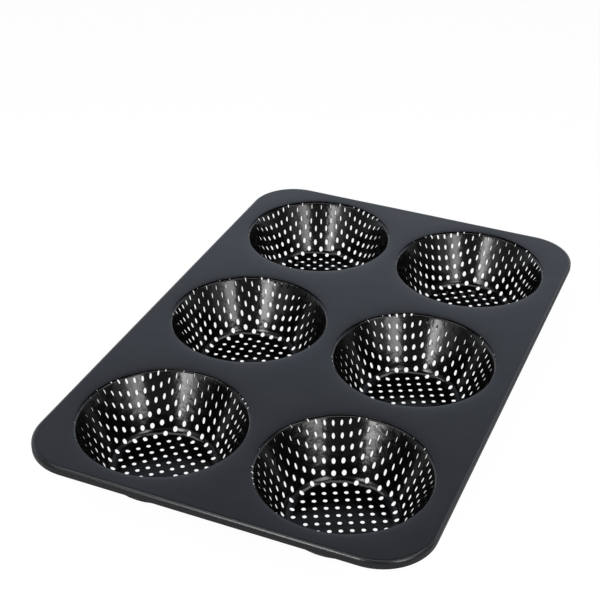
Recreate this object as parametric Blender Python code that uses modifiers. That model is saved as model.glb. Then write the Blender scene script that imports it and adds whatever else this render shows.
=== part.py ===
"""Baking pan for six hamburger buns.

A pressed steel deck with a turned-down skirt lies over six drawn cups of perforated
steel. Each cup's flange is spot-welded under the deck, round one of the deck's holes,
so the pan is one rigid body that stands on the floors of its cups.
Units are metres and +Z is up. The origin is on the standing plane, under the deck's middle,
with X along the short side and Y along the long side, away from the viewer.
"""

import math
from collections import namedtuple

import bmesh
import bpy
from mathutils import Matrix, Vector

# Deck
DECK_SHEET = 0.0006
DECK_CORNER_RADIUS = 0.0315
SKIRT_HEIGHT = 0.005
SHOULDER_BEND = 0.0024
MOUTH_DIAMETER = 0.100

# Cup, measured on its inner face apart from its rim's bend, which is measured on the underside
CUP_SHEET = 0.0005
CUP_DEPTH = 0.0345
FLOOR_RADIUS = 0.0319
FLOOR_FILLET = 0.007
RIM_BEND = 0.002
WALL_SET_IN = 0.0008
FLANGE_LAP = 0.004

# Places of the cups, and the space between their flanges and out to the deck's edge
COLUMNS = {"left": -0.5, "right": 0.5}
ROWS = {"front": -1, "middle": 0, "back": 1}
BETWEEN_COLUMNS = 0.002
BETWEEN_ROWS = 0.009
SIDE_MARGIN = 0.0085
END_MARGIN = 0.0065

# Clearance between the flange and the deck above it
SEAM_GAP = 0.0003

# Perforated sheet that the cups are drawn from. Every second hole of every second row is cut.
HOLE_PITCH = 0.00632
HOLE_DIAMETER = 0.003
PITCHES_PER_CUT = 2
SOLID_RIM = 0.007

# How much longer the sheet is made by drawing it, just past the flat floor and at the rim
STRETCH_AT_FLOOR = 1.037
STRETCH_AT_RIM = 1.169

# What the draw does to the round holes. A hole takes up more of the draw than the sheet does, most
# of all where the wall runs across the diagonals of its rows of holes. Holes open a little over
# the fillet and close again towards the rim, and more so on the diagonals.
GIVE_ALONG_ROWS = 1.8
GIVE_ON_DIAGONALS = 3.85
OPENING_AT_FILLET = 0.11
CLOSING_AT_RIM = 0.25
CLOSING_ON_DIAGONALS = 0.47

# Each cup's blank is cut from the sheet at its own place: the turn of its rows of holes, where a
# hole lies from the cup's axis along and across those rows, and how far the blank slipped
# sideways in the die as it was drawn. These places are in pitches.
Blank = namedtuple("Blank", "turn_degrees along across slip_x slip_y")
BLANKS = {
    ("left", "front"): Blank(45.8, 0.57, 0.68, -0.17, 0.08),
    ("right", "front"): Blank(27.1, -0.24, 0.63, -0.11, 0.13),
    ("left", "middle"): Blank(-0.8, 0.17, -0.08, 0.02, 0.10),
    ("right", "middle"): Blank(27.6, 0.36, 0.25, 0.10, 0.14),
    ("left", "back"): Blank(66.7, 0.10, -0.36, -0.11, 0.13),
    ("right", "back"): Blank(37.2, -0.02, -0.14, -0.11, 0.13),
}
SLIP_LENGTH = 0.025

# Facets
ROUND_STEPS = 24
CORNER_STEPS = 7
SHOULDER_STEPS = 3
FILLET_STEPS = 2
RIM_STEPS = 2
HOLE_SIDES = 4

# A bevel with this profile is an arc of a circle
ROUND_PROFILE = 0.5

# A bend takes at most this share of the flat stretch beside it
BEND_SHARE = 0.9

# Heights, from the standing plane up
FLOOR_Z = CUP_SHEET
FLANGE_Z = FLOOR_Z + CUP_DEPTH
DECK_TOP_Z = FLANGE_Z + SEAM_GAP + DECK_SHEET

# Layout from the mouths outwards
MOUTH_RADIUS = MOUTH_DIAMETER / 2
FLANGE_RADIUS = MOUTH_RADIUS + FLANGE_LAP
COLUMN_PITCH = 2 * FLANGE_RADIUS + BETWEEN_COLUMNS
ROW_PITCH = 2 * FLANGE_RADIUS + BETWEEN_ROWS
DECK_WIDTH = (len(COLUMNS) - 1) * COLUMN_PITCH + 2 * (FLANGE_RADIUS + SIDE_MARGIN)
DECK_LENGTH = (len(ROWS) - 1) * ROW_PITCH + 2 * (FLANGE_RADIUS + END_MARGIN)
SHOULDER_RADIUS = min(SHOULDER_BEND + DECK_SHEET, BEND_SHARE * SKIRT_HEIGHT)

# The wall's line runs from the floor's plane to the flange's plane
WALL_TOP_RADIUS = MOUTH_RADIUS - WALL_SET_IN
WALL_ANGLE = math.atan2(CUP_DEPTH, WALL_TOP_RADIUS - FLOOR_RADIUS)
WALL_LINE = math.hypot(CUP_DEPTH, WALL_TOP_RADIUS - FLOOR_RADIUS)
RIM_TANGENT = min(
    (RIM_BEND + CUP_SHEET) * math.tan(WALL_ANGLE / 2),
    BEND_SHARE * (FLANGE_RADIUS - WALL_TOP_RADIUS),
)
RIM_RADIUS = RIM_TANGENT / math.tan(WALL_ANGLE / 2)
FILLET_TANGENT = min(
    FLOOR_FILLET * math.tan(WALL_ANGLE / 2),
    BEND_SHARE * FLOOR_RADIUS,
    BEND_SHARE * (WALL_LINE - RIM_TANGENT),
)
FILLET_RADIUS = FILLET_TANGENT / math.tan(WALL_ANGLE / 2)

# Distances along the formed sheet from the floor's centre to the ends of its stretches
FLAT_FLOOR = FLOOR_RADIUS - FILLET_TANGENT
WALL_START = FLAT_FLOOR + FILLET_RADIUS * WALL_ANGLE
WALL_END = WALL_START + WALL_LINE - FILLET_TANGENT - RIM_TANGENT
STRETCH_GROWTH = (STRETCH_AT_RIM - STRETCH_AT_FLOOR) / (2 * (WALL_END - FLAT_FLOOR))


def clear_scene():
    for old in list(bpy.data.objects):
        bpy.data.objects.remove(old, do_unlink=True)


def make_collection(name):
    collection = bpy.data.collections.new(name)
    bpy.context.scene.collection.children.link(collection)
    return collection


def make_material(name, colour, roughness, metallic):
    material = bpy.data.materials.new(name)
    material.use_nodes = True
    shader = material.node_tree.nodes["Principled BSDF"]
    shader.inputs["Base Color"].default_value = (*colour, 1.0)
    shader.inputs["Roughness"].default_value = roughness
    shader.inputs["Metallic"].default_value = metallic
    material.diffuse_color = (*colour, 1.0)
    return material


def make_object(name, mesh, collection, material=None):
    made = bpy.data.objects.new(name, mesh)
    collection.objects.link(made)
    if material:
        mesh.materials.append(material)
    return made


def mesh_from(name, bm):
    mesh = bpy.data.meshes.new(name)
    bm.to_mesh(mesh)
    bm.free()
    return mesh


def make_cutter(name, mesh):
    cutter = make_object(name, mesh, cutters)
    cutter.display_type = "WIRE"
    cutter.hide_render = True
    return cutter


def thicken(target, thickness):
    """Gives an open sheet its thickness, on the side away from its normals."""
    solidify = target.modifiers.new("Sheet", "SOLIDIFY")
    solidify.thickness = thickness
    solidify.offset = -1
    solidify.use_even_offset = True


def cut(target, cutter):
    boolean = target.modifiers.new("Cut " + cutter.name, "BOOLEAN")
    boolean.operation = "DIFFERENCE"
    boolean.solver = "EXACT"
    boolean.object = cutter


def shade(target):
    target.data.shade_smooth()
    target.data.set_sharp_from_angle(angle=math.radians(30))


def deck_skin():
    """The deck's outer face: a tray upside down, with round corners and a round shoulder."""
    bm = bmesh.new()
    bmesh.ops.create_cube(bm, size=1)
    size = Vector((DECK_WIDTH, DECK_LENGTH, SKIRT_HEIGHT))
    bmesh.ops.scale(bm, vec=size, verts=bm.verts)
    bmesh.ops.translate(bm, vec=(0, 0, DECK_TOP_Z - SKIRT_HEIGHT / 2), verts=bm.verts)
    upright = [e for e in bm.edges if abs(e.verts[0].co.z - e.verts[1].co.z) > SKIRT_HEIGHT / 2]
    bmesh.ops.bevel(
        bm,
        geom=upright,
        offset=DECK_CORNER_RADIUS,
        segments=CORNER_STEPS,
        profile=ROUND_PROFILE,
        affect="EDGES",
    )
    top = max(bm.faces, key=lambda face: face.calc_center_median().z)
    bmesh.ops.bevel(
        bm,
        geom=list(top.edges),
        offset=SHOULDER_RADIUS,
        segments=SHOULDER_STEPS,
        profile=ROUND_PROFILE,
        affect="EDGES",
    )
    bottom = min(bm.faces, key=lambda face: face.calc_center_median().z)
    bmesh.ops.delete(bm, geom=[bottom], context="FACES")
    return mesh_from("deck_skin", bm)


def mouth_cutter(name, x, y):
    """A round plug through the deck, over one cup."""
    bm = bmesh.new()
    bmesh.ops.create_cone(
        bm,
        cap_ends=True,
        segments=ROUND_STEPS,
        radius1=MOUTH_RADIUS,
        radius2=MOUTH_RADIUS,
        depth=4 * DECK_SHEET,
        matrix=Matrix.Translation((x, y, DECK_TOP_Z)),
    )
    return make_cutter(name, mesh_from(name, bm))


def make_deck():
    deck = make_object("deck", deck_skin(), pan, deck_finish)
    shade(deck)
    thicken(deck, DECK_SHEET)
    for (column, row), (x, y) in places.items():
        cut(deck, mouth_cutter(f"mouth_{row}_{column}", x, y))
    return deck


def cup_line():
    """Points (radius, height) on the inner face, from the floor's centre to the flange's edge."""
    fillet_centre = Vector((FLAT_FLOOR, FLOOR_Z + FILLET_RADIUS))
    rim_centre = Vector((WALL_TOP_RADIUS + RIM_TANGENT, FLANGE_Z - RIM_RADIUS))
    points = [Vector((0, FLOOR_Z))]
    for step in range(FILLET_STEPS + 1):
        angle = WALL_ANGLE * step / FILLET_STEPS
        points.append(fillet_centre + FILLET_RADIUS * Vector((math.sin(angle), -math.cos(angle))))
    for step in range(RIM_STEPS + 1):
        angle = WALL_ANGLE * (1 - step / RIM_STEPS)
        points.append(rim_centre + RIM_RADIUS * Vector((-math.sin(angle), math.cos(angle))))
    points.append(Vector((FLANGE_RADIUS, FLANGE_Z)))
    return points


def cup_skin():
    """Half the section of the cup's inner face, for turning about Z."""
    bm = bmesh.new()
    line = [bm.verts.new((radius, 0, height)) for radius, height in cup_line()]
    for start, end in zip(line, line[1:]):
        bm.edges.new((start, end))
    return mesh_from("cup_section", bm)


def turn(target):
    screw = target.modifiers.new("Turn", "SCREW")
    screw.axis = "Z"
    screw.angle = math.tau
    screw.steps = ROUND_STEPS
    screw.render_steps = ROUND_STEPS
    screw.use_merge_vertices = True
    screw.merge_threshold = 0.00001


def on_the_cup(along):
    """Radius, height and slope of the inner face at a distance along it from the floor's centre."""
    if along <= FLAT_FLOOR:
        return along, FLOOR_Z, 0.0
    if along <= WALL_START:
        slope = (along - FLAT_FLOOR) / FILLET_RADIUS
        radius = FLAT_FLOOR + FILLET_RADIUS * math.sin(slope)
        return radius, FLOOR_Z + FILLET_RADIUS * (1 - math.cos(slope)), slope
    up = FILLET_TANGENT + along - WALL_START
    radius = FLOOR_RADIUS + up * math.cos(WALL_ANGLE)
    return radius, FLOOR_Z + up * math.sin(WALL_ANGLE), WALL_ANGLE


def drawn(flat):
    """How far along the formed sheet a point of the flat blank ends up, and the stretch there."""
    past = max(flat - FLAT_FLOOR, 0)
    along = min(flat, FLAT_FLOOR) + past * (STRETCH_AT_FLOOR + STRETCH_GROWTH * past)
    return along, STRETCH_AT_FLOOR + 2 * STRETCH_GROWTH * past


def drawn_oval(along, draw, heading):
    """Width, length and tilt from the wall's line of the oval that a round hole is drawn into, as
    shares of its diameter. The heading is the wall's bearing against the rows of holes."""
    if along <= FLAT_FLOOR:
        return 1, 1, 0
    on_rows = GIVE_ALONG_ROWS * draw / 2 * math.cos(2 * heading)
    on_diagonals = GIVE_ON_DIAGONALS * draw / 2 * math.sin(2 * heading)
    pull = math.hypot(on_rows, on_diagonals)
    up_fillet = min((along - FLAT_FLOOR) / (WALL_START - FLAT_FLOOR), 1)
    up_wall = max(along - WALL_START, 0) / (WALL_END - WALL_START)
    closing = CLOSING_AT_RIM * up_wall
    closing += CLOSING_ON_DIAGONALS * (up_wall * math.sin(2 * heading)) ** 2
    opening = OPENING_AT_FILLET * up_fillet - closing
    tilt = math.atan2(on_diagonals, on_rows) / 2 - heading
    return math.exp(opening - pull), math.exp(opening + pull), tilt


def hole_frame(spot, slip, grid_turn):
    """Place of a hole of the blank on the formed cup, with its axes across and along the drawn oval
    and out of the sheet, and the turn that sets a prism square to the rows of holes. It is None
    where the hole would come too close to the rim."""
    flat = spot.length
    bearing = spot.normalized()
    share = min(max((flat - FLAT_FLOOR) / SLIP_LENGTH, 0), 2)
    along, stretch = drawn(flat + share * bearing.dot(slip))
    if along > WALL_END - SOLID_RIM:
        return None
    radius, height, slope = on_the_cup(along)
    around = Vector((-bearing.y, bearing.x, 0))
    up_wall = Vector((*(bearing * math.cos(slope)), math.sin(slope)))
    heading = math.atan2(bearing.y, bearing.x) - grid_turn
    width, length, tilt = drawn_oval(along, math.log(stretch * flat / radius), heading)
    across = math.cos(tilt) * around - math.sin(tilt) * up_wall
    lengthways = math.cos(tilt) * up_wall + math.sin(tilt) * around
    axes = Matrix((width * across, length * lengthways, around.cross(up_wall))).transposed()
    place = Matrix.Translation((*(bearing * radius), height)) @ axes.to_4x4()
    return place, heading + tilt + math.pi / 4


def perforation(name, blank):
    """All the punches of one cup: short prisms, square to the formed sheet."""
    bm = bmesh.new()
    step = HOLE_PITCH * PITCHES_PER_CUT
    reach = math.ceil(WALL_END / step)
    grid_turn = math.radians(blank.turn_degrees)
    slip = HOLE_PITCH * Vector((blank.slip_x, blank.slip_y))
    first = HOLE_PITCH * Vector((blank.along, blank.across))
    corner_radius = HOLE_DIAMETER / 2 * math.sqrt(math.pi / 2)
    for i in range(-reach, reach + 1):
        for j in range(-reach, reach + 1):
            spot = Matrix.Rotation(grid_turn, 2) @ (first + step * Vector((i, j)))
            frame = hole_frame(spot, slip, grid_turn)
            if frame is None:
                continue
            place, square_up = frame
            bmesh.ops.create_cone(
                bm,
                cap_ends=True,
                segments=HOLE_SIDES,
                radius1=corner_radius,
                radius2=corner_radius,
                depth=4 * CUP_SHEET,
                matrix=place @ Matrix.Rotation(square_up, 4, "Z"),
            )
    return make_cutter(name, mesh_from(name, bm))


def make_cup(column, row):
    cup = make_object(f"{row}_{column}_cup", cup_skin(), pan, cup_finish)
    cup.location = (*places[column, row], 0)
    turn(cup)
    thicken(cup, CUP_SHEET)
    punches = perforation(f"punches_{row}_{column}", BLANKS[column, row])
    punches.location = cup.location
    cut(cup, punches)


clear_scene()
pan = make_collection("hamburger_bun_pan")
cutters = make_collection("cutters")
deck_finish = make_material("satin_dark_coating", (0.045, 0.049, 0.058), 0.42, 0.0)
cup_finish = make_material("glossy_black_coating", (0.006, 0.006, 0.007), 0.2, 0.0)
places = {
    (column, row): (across * COLUMN_PITCH, deep * ROW_PITCH)
    for column, across in COLUMNS.items()
    for row, deep in ROWS.items()
}
make_deck()
for column, row in places:
    make_cup(column, row)
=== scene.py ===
"""Baking pan for six hamburger buns, dressed for a studio photograph on a white table."""

import math

import bpy
import numpy as np
from mathutils import Matrix, Vector, kdtree
from mathutils.geometry import delaunay_2d_cdt


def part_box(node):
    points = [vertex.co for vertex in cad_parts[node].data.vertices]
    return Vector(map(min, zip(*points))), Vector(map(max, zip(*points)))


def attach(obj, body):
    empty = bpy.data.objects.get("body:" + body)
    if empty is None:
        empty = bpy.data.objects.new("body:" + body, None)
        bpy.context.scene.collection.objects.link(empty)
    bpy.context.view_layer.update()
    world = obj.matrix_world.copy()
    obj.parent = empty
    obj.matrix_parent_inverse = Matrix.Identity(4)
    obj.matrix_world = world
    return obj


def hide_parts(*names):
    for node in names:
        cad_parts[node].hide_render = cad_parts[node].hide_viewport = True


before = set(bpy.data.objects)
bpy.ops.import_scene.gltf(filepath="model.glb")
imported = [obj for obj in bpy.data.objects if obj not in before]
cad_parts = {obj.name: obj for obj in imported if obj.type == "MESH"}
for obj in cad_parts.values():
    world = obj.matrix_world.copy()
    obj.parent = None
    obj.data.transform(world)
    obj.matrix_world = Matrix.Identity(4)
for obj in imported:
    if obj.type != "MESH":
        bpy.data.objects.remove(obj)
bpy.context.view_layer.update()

# Camera
# It stands in front of the pan and a little to its right, and looks down on it at about 32 degrees
# through a short portrait lens, as in the photograph.
camera_data = bpy.data.cameras.new("camera")
camera_data.lens = 78.65
camera_data.sensor_width = 36
camera_data.clip_start = 0.05
camera_data.clip_end = 50
camera = bpy.data.objects.new("camera", camera_data)
camera_turn = math.radians(22.35)
camera_tilt = math.radians(32.23)
camera_roll = math.radians(0.96)
camera.matrix_world = (
    Matrix.Translation((0.2400, -0.6333, 0.4890))
    @ Matrix.Rotation(camera_turn, 4, "Z")
    @ Matrix.Rotation(math.pi / 2 - camera_tilt, 4, "X")
    @ Matrix.Rotation(camera_roll, 4, "Z")
)
bpy.context.scene.collection.objects.link(camera)
bpy.context.scene.camera = camera
bpy.context.scene.view_settings.view_transform = "Standard"

# Cups
# Each cup is drawn from a round blank of perforated steel sheet, which turns the round holes up
# the wall into tall ovals, and is then coated glossy black. The rim leads into a flange that is
# spot-welded under the deck.
cup_sheet = 0.0005
cup_floor_radius = 0.0319
cup_fillet = 0.007
cup_rim_bend = 0.0025
cup_wall_set_in = 0.0008
cup_flange_lap = 0.004
hole_pitch = 0.00632
hole_radius = 0.0015
hole_sides = 18
# Taken off each side of a hole, so that a render shows it about as large as the photo does
hole_narrowing = 0.00017
hole_round_width = 0.00018
hole_round_drop = 0.00005
hole_least_half_width = 0.00015
hole_clear_margin = 0.0006
hole_search_reach = 0.0045
hole_edge_clearance = 0.0008
section_point_gap = 0.0019
flange_edge_sides = 180
stretch_at_floor = 1.037
stretch_at_rim = 1.169
slip_length = 0.025
slip_limit = 2
give_along_rows = 1.8
give_on_diagonals = 3.85
opening_at_fillet = 0.11
closing_at_rim = 0.25
closing_on_diagonals = 0.47

cup_low, cup_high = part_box("middle_left_cup")
cup_flange_radius = (cup_high.x - cup_low.x) / 2
cup_wall_top = cup_flange_radius - cup_flange_lap - cup_wall_set_in
cup_floor_z = cup_sheet
cup_depth = cup_high.z - cup_floor_z
cup_slope = math.atan2(cup_depth, cup_wall_top - cup_floor_radius)
fillet_tangent = cup_fillet * math.tan(cup_slope / 2)
rim_tangent = cup_rim_bend * math.tan(cup_slope / 2)
flat_floor = cup_floor_radius - fillet_tangent
wall_start = flat_floor + cup_fillet * cup_slope
wall_end = (
    wall_start
    + math.hypot(cup_depth, cup_wall_top - cup_floor_radius)
    - fillet_tangent
    - rim_tangent
)
rim_end = wall_end + cup_rim_bend * cup_slope
flange_end = rim_end + cup_flange_radius - cup_wall_top - rim_tangent
stretch_growth = (stretch_at_rim - stretch_at_floor) / (2 * (wall_end - flat_floor))


def cup_section(along):
    """Radius, height and slope of the cup's inner face at a distance along it from the centre."""
    if along <= flat_floor:
        return along, cup_floor_z, 0.0
    if along <= wall_start:
        slope = (along - flat_floor) / cup_fillet
        radius = flat_floor + cup_fillet * math.sin(slope)
        return radius, cup_floor_z + cup_fillet * (1 - math.cos(slope)), slope
    if along <= wall_end:
        up = fillet_tangent + along - wall_start
        radius = cup_floor_radius + up * math.cos(cup_slope)
        return radius, cup_floor_z + up * math.sin(cup_slope), cup_slope
    slope = max(cup_slope - (along - wall_end) / cup_rim_bend, 0.0)
    radius = cup_wall_top + rim_tangent - cup_rim_bend * math.sin(slope)
    radius += max(along - rim_end, 0.0)
    return radius, cup_high.z - cup_rim_bend * (1 - math.cos(slope)), slope


def on_cup(flat_spot):
    """Point and normal on the inner face for a point of the rolled-out section."""
    along = math.hypot(*flat_spot)
    radius, height, slope = cup_section(along)
    out = Vector(flat_spot) / along if along > 0 else Vector((1, 0))
    point = Vector((out.x * radius, out.y * radius, height))
    normal = Vector((-out.x * math.sin(slope), -out.y * math.sin(slope), math.cos(slope)))
    return point, normal


def drawn(blank_spot, slip):
    """Where a point of the flat blank ends up on the rolled-out section of the drawn cup."""
    flat = blank_spot.length
    bearing = blank_spot / flat if flat > 0 else Vector((1, 0))
    share = min(max((flat - flat_floor) / slip_length, 0), slip_limit)
    flat += share * bearing.dot(slip)
    past = max(flat - flat_floor, 0)
    along = min(flat, flat_floor) + past * (stretch_at_floor + stretch_growth * past)
    return bearing * along


def drawn_hole(centre, slip, turn):
    """Middle, half length, half width and tilt from the wall's line of one drawn hole. It takes
    up more of the draw than the sheet does, most of all where the wall runs across the diagonals
    of the rows of holes: there the holes close to slits, and along the rows they grow tall."""
    middle = drawn(centre, slip)
    along = middle.length
    if along <= flat_floor:
        return middle, hole_radius - hole_narrowing, hole_radius - hole_narrowing, 0.0
    flat = centre.length
    stretch = stretch_at_floor + 2 * stretch_growth * max(flat - flat_floor, 0)
    draw = math.log(stretch * flat / cup_section(along)[0])
    heading = math.atan2(middle.y, middle.x) - math.radians(turn)
    on_rows = give_along_rows * draw / 2 * math.cos(2 * heading)
    on_diagonals = give_on_diagonals * draw / 2 * math.sin(2 * heading)
    pull = math.hypot(on_rows, on_diagonals)
    tilt = math.atan2(on_diagonals, on_rows) / 2 - heading
    up_fillet = min((along - flat_floor) / (wall_start - flat_floor), 1)
    up_wall = max(along - wall_start, 0) / (wall_end - wall_start)
    closing = closing_at_rim * up_wall
    closing += closing_on_diagonals * (up_wall * math.sin(2 * heading)) ** 2
    opening = opening_at_fillet * up_fillet - closing
    half_length = hole_radius * math.exp(opening + pull) - hole_narrowing
    half_width = hole_radius * math.exp(opening - pull) - hole_narrowing
    return middle, half_length, max(half_width, hole_least_half_width), tilt


def hole_ring(hole, grow):
    """Points round a drawn hole, grown by this much, on the rolled-out section."""
    middle, half_length, half_width, tilt = hole
    if middle.length <= flat_floor:
        return ring(half_length + grow, hole_sides, middle=middle)
    long_way = Vector((math.cos(tilt), math.sin(tilt)))
    wide_way = Vector((-math.sin(tilt), math.cos(tilt)))
    bearing = math.atan2(middle.y, middle.x)
    spots = []
    for up, sideways in ring(1, hole_sides):
        off = (half_length + grow) * up * long_way + (half_width + grow) * sideways * wide_way
        along = middle.length + off.x
        angle = bearing + off.y / cup_section(along)[0]
        spots.append((along * math.cos(angle), along * math.sin(angle)))
    return spots


def clear_of(hole, spot, margin):
    """Whether a point of the rolled-out section keeps this far from a drawn hole."""
    middle, half_length, half_width, tilt = hole
    out = middle.normalized() if middle.length > 0 else Vector((1, 0))
    off = Vector(spot) - middle
    squeeze = cup_section(middle.length)[0] / middle.length if middle.length > flat_floor else 1
    local = Matrix.Rotation(-tilt, 2) @ Vector((off.dot(out), off.dot((-out.y, out.x)) * squeeze))
    return math.hypot(local.x / (half_length + margin), local.y / (half_width + margin)) > 1


def sheet_mesh(name, points, normals, faces, rims, thickness, drop):
    """A closed sheet from its upper face. Each rim is a loop of points with the sheet on its right
    and the direction that each point's edge faces. The edges are rounded over by the drop."""
    upper = np.array(points, float)
    under = np.array(points, float) - thickness * np.array(normals, float)
    upper_normals = np.array(normals, float)
    under_normals = -upper_normals
    for loop, outwards in rims:
        for i, out in zip(loop, outwards):
            upper[i] -= drop * np.array(normals[i])
            under[i] += drop * np.array(normals[i])
            upper_normals[i] = out
            under_normals[i] = out
    count = len(points)
    all_faces = [tuple(face) for face in faces]
    all_faces += [tuple(i + count for i in reversed(face)) for face in faces]
    for loop, _ in rims:
        for i, j in zip(loop, loop[1:] + loop[:1]):
            all_faces.append((i, j, j + count, i + count))
    mesh = bpy.data.meshes.new(name)
    mesh.from_pydata(np.concatenate([upper, under]).tolist(), [], all_faces)
    mesh.shade_smooth()
    mesh.normals_split_custom_set_from_vertices(
        np.concatenate([upper_normals, under_normals]).tolist()
    )
    mesh.validate()
    return mesh


def triangulated(spots, loops):
    """Triangles between these flat points, with the loops among their edges."""
    edges = [pair for loop in loops for pair in zip(loop, loop[1:] + loop[:1])]
    millimetres = 1000
    tolerance = 1e-6
    whole_hull = 0
    flat = [Vector(spot) * millimetres for spot in spots]
    _, _, found, sources, _, _ = delaunay_2d_cdt(flat, edges, [], whole_hull, tolerance)
    source = [ids[0] for ids in sources]
    return [tuple(source[i] for i in face) for face in found]


def outside_holes(triangles, hole_of):
    """The triangles that don't have all three points on the edge of one hole."""
    kept = []
    for face in triangles:
        owners = {hole_of.get(k) for k in face}
        if len(owners) > 1 or None in owners:
            kept.append(face)
    return kept


def ring(radius, count, turn=0.0, middle=(0, 0)):
    """Flat points round a circle, turned by this share of a step."""
    steps = (math.tau * (step + turn) / count for step in range(count))
    return [(middle[0] + radius * math.cos(a), middle[1] + radius * math.sin(a)) for a in steps]


def stretch_of(start, end, steps):
    """Distances along the section from one place to another, both of them included."""
    return [start + (end - start) * step / steps for step in range(steps + 1)]


# Rings of points that follow the section: sparse on the flats, close together round the bends
section_rings = [flat_floor * share for share in (0.12, 0.24, 0.36, 0.48, 0.6, 0.72, 0.84, 0.94)]
section_rings += stretch_of(flat_floor, wall_start, 8)
section_rings += stretch_of(wall_start, wall_end, 14)[1:-1]
section_rings += stretch_of(wall_end, rim_end, 6)
section_rings += [rim_end + (flange_end - rim_end) * share for share in (0.33, 0.66)]


def perforated_cup(name, blank):
    """The sheet of one cup, with a hole for each place of its blank's grid that the cup holds."""
    turn, along, across, slip_x, slip_y = blank
    slip = hole_pitch * Vector((slip_x, slip_y))
    spots = []
    hole_loops = []
    hole_of = {}
    reach = math.ceil(flange_end / hole_pitch)
    holes = []
    for i in range(-reach, reach + 1):
        for j in range(-reach, reach + 1):
            in_row = hole_pitch * Vector((i + along, j + across))
            centre = Matrix.Rotation(math.radians(turn), 2) @ in_row
            hole = drawn_hole(centre, slip, turn)
            middle, half_length = hole[:2]
            if middle.length + half_length > flange_end - hole_edge_clearance:
                continue
            holes.append(hole)
            first = len(spots)
            for grow in (0, hole_round_width):
                spots += hole_ring(hole, grow)
            hole_loops.append((middle, list(range(first, first + hole_sides))))
            for k in range(first, first + hole_sides):
                hole_of[k] = len(hole_loops)
    tree = kdtree.KDTree(len(holes))
    for k, hole in enumerate(holes):
        tree.insert((*hole[0], 0), k)
    tree.balance()
    spots.append((0.0, 0.0))
    for step, along_section in enumerate(section_rings):
        radius = cup_section(along_section)[0]
        count = max(8, round(math.tau * radius / section_point_gap))
        for spot in ring(along_section, count, turn=0.5 * (step % 2)):
            near = tree.find_range((*spot, 0), hole_search_reach)
            if all(clear_of(holes[k], spot, hole_clear_margin) for _, k, _ in near):
                spots.append(spot)
    first = len(spots)
    spots += ring(flange_end - hole_round_drop, flange_edge_sides)
    edge_first = len(spots)
    spots += ring(flange_end, flange_edge_sides)
    edge = list(range(edge_first, len(spots)))
    loops = [loop for _, loop in hole_loops]
    loops += [[k + hole_sides for k in loop] for loop in loops]
    loops += [list(range(first, edge_first)), edge]
    faces = outside_holes(triangulated(spots, loops), hole_of)
    points = []
    normals = []
    for spot in spots:
        point, normal = on_cup(spot)
        points.append(point)
        normals.append(normal)
    rims = []
    for middle, loop in hole_loops:
        heart = on_cup(middle)[0]
        outwards = []
        for k in loop:
            way = heart - points[k]
            way -= way.dot(normals[k]) * normals[k]
            outwards.append(way.normalized())
        rims.append((loop, outwards))
    back = edge[::-1]
    rims.append((back, [Vector((points[k].x, points[k].y, 0)).normalized() for k in back]))
    return sheet_mesh(name, points, normals, faces, rims, cup_sheet, hole_round_drop)


# Where each cup's blank was cut from the perforated sheet: the turn of its rows of holes in
# degrees, then in pitches the offset of a hole along and across them and the slip of the blank
# in the die
cup_blanks = {
    "front_left": (45.8, 0.57, 0.68, -0.17, 0.08),
    "front_right": (27.1, -0.24, 0.63, -0.11, 0.13),
    "middle_left": (-0.8, 0.17, -0.08, 0.02, 0.10),
    "middle_right": (27.6, 0.36, 0.25, 0.10, 0.14),
    "back_left": (66.7, 0.10, -0.36, -0.11, 0.13),
    "back_right": (37.2, -0.02, -0.14, -0.11, 0.13),
}


def socket(group, name, way, kind, value=None):
    made = group.interface.new_socket(name=name, in_out=way, socket_type=kind)
    if value is not None:
        made.default_value = value


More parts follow.
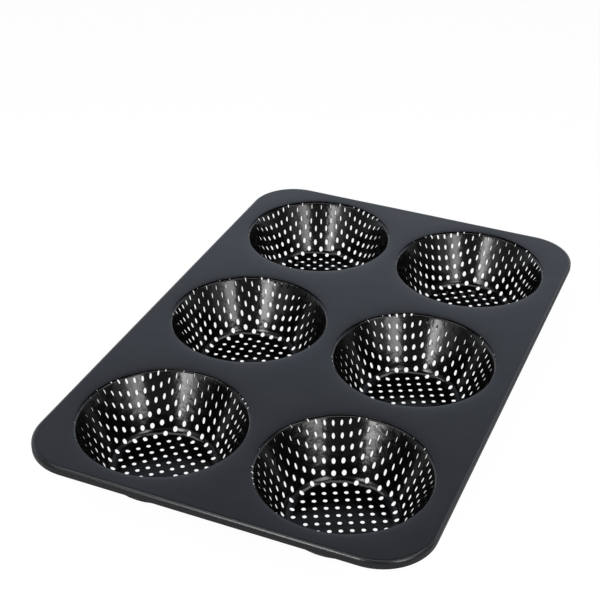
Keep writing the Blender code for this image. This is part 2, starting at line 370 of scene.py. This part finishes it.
def coating_group():
    """A sprayed and baked coating: a fine peel, broader waves and an uneven gloss."""
    group = bpy.data.node_groups.new("baked_coating", "ShaderNodeTree")
    socket(group, "Colour", "INPUT", "NodeSocketColor", (0.01, 0.01, 0.01, 1))
    socket(group, "Roughness", "INPUT", "NodeSocketFloat", 0.3)
    socket(group, "Roughness spread", "INPUT", "NodeSocketFloat", 0.1)
    socket(group, "Peel scale", "INPUT", "NodeSocketFloat", 1000)
    socket(group, "Peel depth", "INPUT", "NodeSocketFloat", 0.00001)
    socket(group, "Wave scale", "INPUT", "NodeSocketFloat", 200)
    socket(group, "Wave depth", "INPUT", "NodeSocketFloat", 0.0001)
    socket(group, "Colour", "OUTPUT", "NodeSocketColor")
    socket(group, "Roughness", "OUTPUT", "NodeSocketFloat")
    socket(group, "Normal", "OUTPUT", "NodeSocketVector")
    add = group.nodes.new
    link = group.links.new
    entry = add("NodeGroupInput")
    leave = add("NodeGroupOutput")
    place = add("ShaderNodeTexCoord")

    peel = add("ShaderNodeTexNoise")
    peel.inputs["Detail"].default_value = 2
    link(place.outputs["Object"], peel.inputs["Vector"])
    link(entry.outputs["Peel scale"], peel.inputs["Scale"])
    wave = add("ShaderNodeTexNoise")
    wave.inputs["Detail"].default_value = 1.5
    link(place.outputs["Object"], wave.inputs["Vector"])
    link(entry.outputs["Wave scale"], wave.inputs["Scale"])

    peel_bump = add("ShaderNodeBump")
    link(entry.outputs["Peel depth"], peel_bump.inputs["Distance"])
    link(peel.outputs["Fac"], peel_bump.inputs["Height"])
    wave_bump = add("ShaderNodeBump")
    link(entry.outputs["Wave depth"], wave_bump.inputs["Distance"])
    link(wave.outputs["Fac"], wave_bump.inputs["Height"])
    link(peel_bump.outputs["Normal"], wave_bump.inputs["Normal"])
    link(wave_bump.outputs["Normal"], leave.inputs["Normal"])

    cloud = add("ShaderNodeTexNoise")
    cloud.inputs["Scale"].default_value = 60
    cloud.inputs["Detail"].default_value = 4
    link(place.outputs["Object"], cloud.inputs["Vector"])
    centred = add("ShaderNodeMath")
    centred.operation = "SUBTRACT"
    centred.inputs[1].default_value = 0.5
    link(cloud.outputs["Fac"], centred.inputs[0])
    spread = add("ShaderNodeMath")
    spread.operation = "MULTIPLY_ADD"
    link(centred.outputs["Value"], spread.inputs[0])
    link(entry.outputs["Roughness spread"], spread.inputs[1])
    link(entry.outputs["Roughness"], spread.inputs[2])
    link(spread.outputs["Value"], leave.inputs["Roughness"])

    lift = add("ShaderNodeMapRange")
    lift.inputs["From Min"].default_value = 0.3
    lift.inputs["From Max"].default_value = 0.7
    lift.inputs["To Min"].default_value = 0.92
    lift.inputs["To Max"].default_value = 1.08
    link(peel.outputs["Fac"], lift.inputs["Value"])
    tint = add("ShaderNodeVectorMath")
    tint.operation = "SCALE"
    link(entry.outputs["Colour"], tint.inputs[0])
    link(lift.outputs["Result"], tint.inputs["Scale"])
    link(tint.outputs["Vector"], leave.inputs["Colour"])
    return group


def coated(name, group, values):
    """A coated steel finish: the group's colour, gloss and normal on a Principled shader."""
    material = bpy.data.materials.new(name)
    material.use_nodes = True
    nodes = material.node_tree.nodes
    links = material.node_tree.links
    shader = nodes["Principled BSDF"]
    coat = nodes.new("ShaderNodeGroup")
    coat.node_tree = group
    for key, value in values.items():
        coat.inputs[key].default_value = value
    links.new(coat.outputs["Colour"], shader.inputs["Base Color"])
    links.new(coat.outputs["Roughness"], shader.inputs["Roughness"])
    links.new(coat.outputs["Normal"], shader.inputs["Normal"])
    material.diffuse_color = values["Colour"]
    return material


baked_coating = coating_group()
cup_finish = coated(
    "glossy_black_coating",
    baked_coating,
    {
        "Colour": (0.0015, 0.0015, 0.0017, 1),
        "Roughness": 0.16,
        "Roughness spread": 0.1,
        "Peel scale": 1100,
        "Peel depth": 0.00002,
        "Wave scale": 230,
        "Wave depth": 0.00016,
    },
)

for place_name, blank in cup_blanks.items():
    node = place_name + "_cup"
    low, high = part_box(node)
    mesh = perforated_cup(place_name + "_perforated_cup", blank)
    mesh.transform(Matrix.Translation(((low.x + high.x) / 2, (low.y + high.y) / 2, 0)))
    mesh.materials.append(cup_finish)
    cup = bpy.data.objects.new(place_name + "_perforated_cup", mesh)
    bpy.context.scene.collection.objects.link(cup)
    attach(cup, "root")
    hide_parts(node)

# Deck
# One pressing of thin steel sheet with a satin dark grey coating. Its corners and shoulder are
# round, a short skirt is turned down all the way round, and the sheet rolls over slightly at the
# edge of each of its six sheared holes.
deck_sheet = 0.0006
deck_corner_radius = 0.0315
deck_shoulder_bend = 0.0022
deck_edge_round = 0.00012
mouth_radius = 0.0498
mouth_sides = 200
mouth_rings = (mouth_radius, mouth_radius + 0.00025, 0.0507, 0.0514, 0.0524, 0.0538)
mouth_dips = ((0.00016, 0.0016), (0.00024, 0.006))
grid_gap = 0.007
grid_mouth_radius = 0.0565
grid_edge_margin = 0.004
deck_low, deck_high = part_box("deck")
deck_half_x = deck_high.x
deck_half_y = deck_high.y
cup_middles = []
for place_name in cup_blanks:
    low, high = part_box(place_name + "_cup")
    cup_middles.append(((low + high) / 2).to_2d())


def deck_height(x, y):
    """Height of the deck's flat part, which rolls down a little towards each hole."""
    height = deck_high.z
    for middle in cup_middles:
        beyond = math.hypot(x - middle.x, y - middle.y) - mouth_radius
        height -= sum(drop * math.exp(-max(beyond, 0) / width) for drop, width in mouth_dips)
    return height


def deck_normal(x, y):
    """Which way the deck's upper face looks there."""
    step = 0.00005
    slope_x = (deck_height(x + step, y) - deck_height(x - step, y)) / (2 * step)
    slope_y = (deck_height(x, y + step) - deck_height(x, y - step)) / (2 * step)
    return Vector((-slope_x, -slope_y, 1)).normalized()


def deck_outline():
    """Points and outward directions round the deck's flat part, anticlockwise from above."""
    corner_steps = 20
    straight_step = 0.006
    bend = deck_corner_radius - deck_shoulder_bend
    reach_x = deck_half_x - deck_corner_radius
    reach_y = deck_half_y - deck_corner_radius
    line = []
    for quarter, (side_x, side_y) in enumerate(((1, 1), (-1, 1), (-1, -1), (1, -1))):
        for step in range(corner_steps + 1):
            angle = math.pi / 2 * (quarter + step / corner_steps)
            out = Vector((math.cos(angle), math.sin(angle)))
            line.append((Vector((side_x * reach_x, side_y * reach_y)) + bend * out, out))
    full = []
    for (spot, out), (ahead, ahead_out) in zip(line, line[1:] + line[:1]):
        full.append((spot, out))
        gap = (ahead - spot).length
        if gap > 2 * straight_step:
            pieces = round(gap / straight_step)
            full += [(spot.lerp(ahead, k / pieces), out) for k in range(1, pieces)]
    return full


def deck_grid():
    """Points spread over the deck's flat part, clear of the mouths and of the shoulder."""
    inner_x = deck_half_x - deck_shoulder_bend - grid_edge_margin
    inner_y = deck_half_y - deck_shoulder_bend - grid_edge_margin
    corner_start = Vector((inner_x - deck_corner_radius, inner_y - deck_corner_radius))
    reach_x = math.ceil(deck_half_x / grid_gap)
    reach_y = math.ceil(deck_half_y / grid_gap)
    found = []
    for i in range(-reach_x, reach_x + 1):
        for j in range(-reach_y, reach_y + 1):
            spot = Vector((i * grid_gap, j * grid_gap))
            if any((spot - middle).length < grid_mouth_radius for middle in cup_middles):
                continue
            if abs(spot.x) > inner_x or abs(spot.y) > inner_y:
                continue
            corner = Vector((abs(spot.x), abs(spot.y))) - corner_start
            if corner.x > 0 and corner.y > 0 and corner.length > deck_corner_radius:
                continue
            found.append(tuple(spot))
    return found


def pressed_deck():
    """Points, normals, faces and rims of the deck's upper face, shoulder and skirt."""
    outline = deck_outline()
    spots = []
    mouth_loops = []
    mouth_of = {}
    for middle in cup_middles:
        first = len(spots)
        for radius in mouth_rings:
            spots += ring(radius, mouth_sides, middle=middle)
        mouth_loops.append(list(range(first, first + mouth_sides)))
        for k in mouth_loops[-1]:
            mouth_of[k] = len(mouth_loops)
    spots += deck_grid()
    outline_first = len(spots)
    spots += [tuple(spot) for spot, _ in outline]
    outline_loop = list(range(outline_first, len(spots)))
    faces = outside_holes(triangulated(spots, mouth_loops + [outline_loop]), mouth_of)
    points = [Vector((x, y, deck_height(x, y))) for x, y in spots]
    normals = [deck_normal(x, y) for x, y in spots]
    last = outline_loop
    bend_steps = 8
    levels = [("bend", math.pi / 2 * step / bend_steps) for step in range(1, bend_steps + 1)]
    levels += [("skirt", share) for share in (0.5, 0.94, 1.0)]
    for kind, value in levels:
        first = len(points)
        for spot, out in outline:
            top = deck_height(*spot)
            if kind == "bend":
                reach = deck_shoulder_bend * math.sin(value)
                height = top - deck_shoulder_bend * (1 - math.cos(value))
                normal = Vector((*(out * math.sin(value)), math.cos(value)))
            else:
                reach = deck_shoulder_bend
                height = top - deck_shoulder_bend
                height += (deck_low.z - height) * value
                normal = Vector((*out, 0))
            points.append(Vector((*(spot + out * reach), height)))
            normals.append(normal)
        now = list(range(first, len(points)))
        for a, b, c, d in zip(last, now, now[1:] + now[:1], last[1:] + last[:1]):
            faces.append((a, b, c, d))
        last = now
    rims = [
        (loop, [Vector((*(middle - points[k].to_2d()).normalized(), 0)) for k in loop])
        for middle, loop in zip(cup_middles, mouth_loops)
    ]
    rims.append((last[::-1], [Vector((0, 0, -1))] * len(last)))
    return points, normals, faces, rims


deck_points, deck_normals, deck_faces, deck_rims = pressed_deck()
deck_mesh = sheet_mesh(
    "pressed_deck", deck_points, deck_normals, deck_faces, deck_rims, deck_sheet, deck_edge_round
)
deck_finish = coated(
    "satin_dark_coating",
    baked_coating,
    {
        "Colour": (0.0119, 0.0126, 0.0145, 1),
        "Roughness": 0.25,
        "Roughness spread": 0.08,
        "Peel scale": 1300,
        "Peel depth": 0.000022,
        "Wave scale": 45,
        "Wave depth": 0.00012,
    },
)
# Painted shade: the mouths' cut edges get a near-black finish with little reflection. It stands in
# for the shadow in the gap between the deck's edge and each cup's shoulder.
mouth_edge_painted_shade = coated(
    "painted_shade_mouth_edge",
    baked_coating,
    {
        "Colour": (0.002, 0.002, 0.0025, 1),
        "Roughness": 0.5,
        "Peel scale": 2200,
        "Peel depth": 0.000012,
        "Wave scale": 45,
        "Wave depth": 0.00005,
    },
)
mouth_edge_painted_shade.node_tree.nodes["Principled BSDF"].inputs["Specular IOR Level"].default_value = 0.1
deck_mesh.materials.append(deck_finish)
deck_mesh.materials.append(mouth_edge_painted_shade)
# The rims' faces come last in the mesh: those of the mouths, then those of the skirt's lower edge.
# The mouths' edge faces take the painted shade finish.
painted_shade_first_face = len(deck_mesh.polygons) - sum(len(loop) for loop, _ in deck_rims)
painted_shade_face_end = len(deck_mesh.polygons) - len(deck_rims[-1][0])
# These faces get the painted shade of the mouths' edges.
for polygon in deck_mesh.polygons[painted_shade_first_face:painted_shade_face_end]:
    polygon.material_index = 1
deck = bpy.data.objects.new("pressed_deck", deck_mesh)
bpy.context.scene.collection.objects.link(deck)
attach(deck, "root")
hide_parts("deck")

# Table
# A wide plain white surface. The camera sees it nearly white by itself, and it keeps a soft shadow
# of the pan.


def shown_to_camera(tree, to_others, to_camera, output):
    """Ends a node tree with one shader for the camera and one for all other rays."""
    path = tree.nodes.new("ShaderNodeLightPath")
    choice = tree.nodes.new("ShaderNodeMixShader")
    tree.links.new(path.outputs["Is Camera Ray"], choice.inputs[0])
    tree.links.new(to_others.outputs[0], choice.inputs[1])
    tree.links.new(to_camera.outputs[0], choice.inputs[2])
    out = tree.nodes.new(output)
    tree.links.new(choice.outputs[0], out.inputs["Surface"])


table_mesh = bpy.data.meshes.new("table")
table_reach = 6
table_mesh.from_pydata(
    [(x * table_reach, y * table_reach, 0) for x, y in ((-1, -1), (1, -1), (1, 1), (-1, 1))],
    [],
    [(0, 1, 2, 3)],
)
table = bpy.data.objects.new("table", table_mesh)
bpy.context.scene.collection.objects.link(table)
table_material = bpy.data.materials.new("white_table")
table_material.use_nodes = True
nodes = table_material.node_tree.nodes
links = table_material.node_tree.links
nodes.clear()
paper = nodes.new("ShaderNodeBsdfDiffuse")
paper.inputs["Color"].default_value = (0.42, 0.42, 0.42, 1)
thin_paper = nodes.new("ShaderNodeBsdfDiffuse")
thin_paper.inputs["Color"].default_value = (0.1, 0.1, 0.1, 1)
glow = nodes.new("ShaderNodeEmission")
glow.inputs["Strength"].default_value = 0.95
seen = nodes.new("ShaderNodeAddShader")
links.new(thin_paper.outputs[0], seen.inputs[0])
links.new(glow.outputs[0], seen.inputs[1])
shown_to_camera(table_material.node_tree, paper, seen, "ShaderNodeOutputMaterial")
table_mesh.materials.append(table_material)

# Studio
# A dark room with a pale backdrop behind the pan, brightest down at the table. A tall softbox on
# each side of the camera makes one of the two streaks on the far wall of every cup, two smaller
# ones at the sides and one overhead draw the thin lights on the bends and the deck's shoulder.
world = bpy.data.worlds.new("studio")
bpy.context.scene.world = world
world.use_nodes = True
nodes = world.node_tree.nodes
links = world.node_tree.links
nodes.clear()
place = nodes.new("ShaderNodeTexCoord")
height = nodes.new("ShaderNodeSeparateXYZ")
links.new(place.outputs["Generated"], height.inputs[0])
ramp = nodes.new("ShaderNodeValToRGB")
stops = ramp.color_ramp.elements
stops[0].position = 0.0
stops[0].color = (0.95, 0.98, 1.0, 1)
stops[1].position = 1.0
stops[1].color = (0.018, 0.020, 0.024, 1)
for position, colour in (
    (0.29, (0.90, 0.95, 1.0, 1)),
    (0.47, (0.63, 0.72, 0.87, 1)),
    (0.57, (0.43, 0.485, 0.575, 1)),
    (0.67, (0.24, 0.255, 0.295, 1)),
    (0.82, (0.03, 0.035, 0.045, 1)),
):
    stops.new(position).color = colour
links.new(height.outputs["Z"], ramp.inputs["Fac"])
behind = nodes.new("ShaderNodeVectorMath")
behind.operation = "DOT_PRODUCT"
behind.inputs[1].default_value = (-0.35, 0.94, 0)
links.new(place.outputs["Generated"], behind.inputs[0])
backdrop = nodes.new("ShaderNodeMapRange")
backdrop.interpolation_type = "SMOOTHSTEP"
backdrop.inputs["From Min"].default_value = -0.2
backdrop.inputs["From Max"].default_value = 0.6
backdrop.inputs["To Min"].default_value = 0.015
links.new(behind.outputs["Value"], backdrop.inputs["Value"])
sky = nodes.new("ShaderNodeBackground")
links.new(ramp.outputs["Color"], sky.inputs["Color"])
links.new(backdrop.outputs["Result"], sky.inputs["Strength"])
plain = nodes.new("ShaderNodeBackground")
plain.inputs["Color"].default_value = (1, 1, 1, 1)
shown_to_camera(world.node_tree, sky, plain, "ShaderNodeOutputWorld")


def softbox(name, location, aim, width, height, watts):
    """A flat lamp that the camera doesn't see, turned towards the place it aims at."""
    data = bpy.data.lights.new(name, "AREA")
    data.shape = "RECTANGLE"
    data.size = width
    data.size_y = height
    data.energy = watts
    lamp = bpy.data.objects.new(name, data)
    lamp.location = location
    lamp.rotation_euler = (Vector(aim) - Vector(location)).to_track_quat("-Z", "Y").to_euler()
    lamp.visible_camera = False
    bpy.context.scene.collection.objects.link(lamp)


# Each streak is brightest on its inner side and fades outwards, so each tall softbox is built from
# panels that share their inner edge. The widest and dimmest of them fill in around the streaks,
# and a faint one at the camera fills in between them.
panel_distance = 0.64
panel_middle = 0.36
panel_tall = 0.42
panel_inner_turn = 24
fill_distance = 0.72
camera_spot = camera.matrix_world.translation
camera_bearing = math.atan2(camera_spot.y, camera_spot.x)
for side, way, panels in (
    ("left", 1, ((0.07, 0.3), (0.14, 0.9), (0.21, 0.75), (0.45, 0.25), (1, 0.3))),
    ("right", -1, ((0.13, 0.42), (0.22, 0.92), (0.46, 0.3), (1, 0.25))),
):
    for width, watts in panels:
        turn = math.radians(panel_inner_turn) + width / 2 / panel_distance
        bearing = camera_bearing - way * turn
        spot = panel_distance * Vector((math.cos(bearing), math.sin(bearing), 0))
        spot.z = panel_middle
        softbox(f"softbox_{side}", spot, (0, 0, panel_middle), width, panel_tall, watts)
fill_spot = fill_distance * Vector((math.cos(camera_bearing), math.sin(camera_bearing), 0))
fill_spot.z = panel_middle
softbox("fill", fill_spot, (0, 0, panel_middle), 0.8, panel_tall, 0.2)
softbox("softbox_side_left", (-0.46, -0.35, 0.82), (0, -0.05, 0), 0.50, 0.22, 0.9)
softbox("softbox_side_right", (0.57, 0.07, 0.82), (0, -0.05, 0), 0.50, 0.22, 1.1)
softbox("ceiling", (0.2, -0.43, 1.6), (0.2, -0.42, 0), 1.5, 0.45, 4.5)
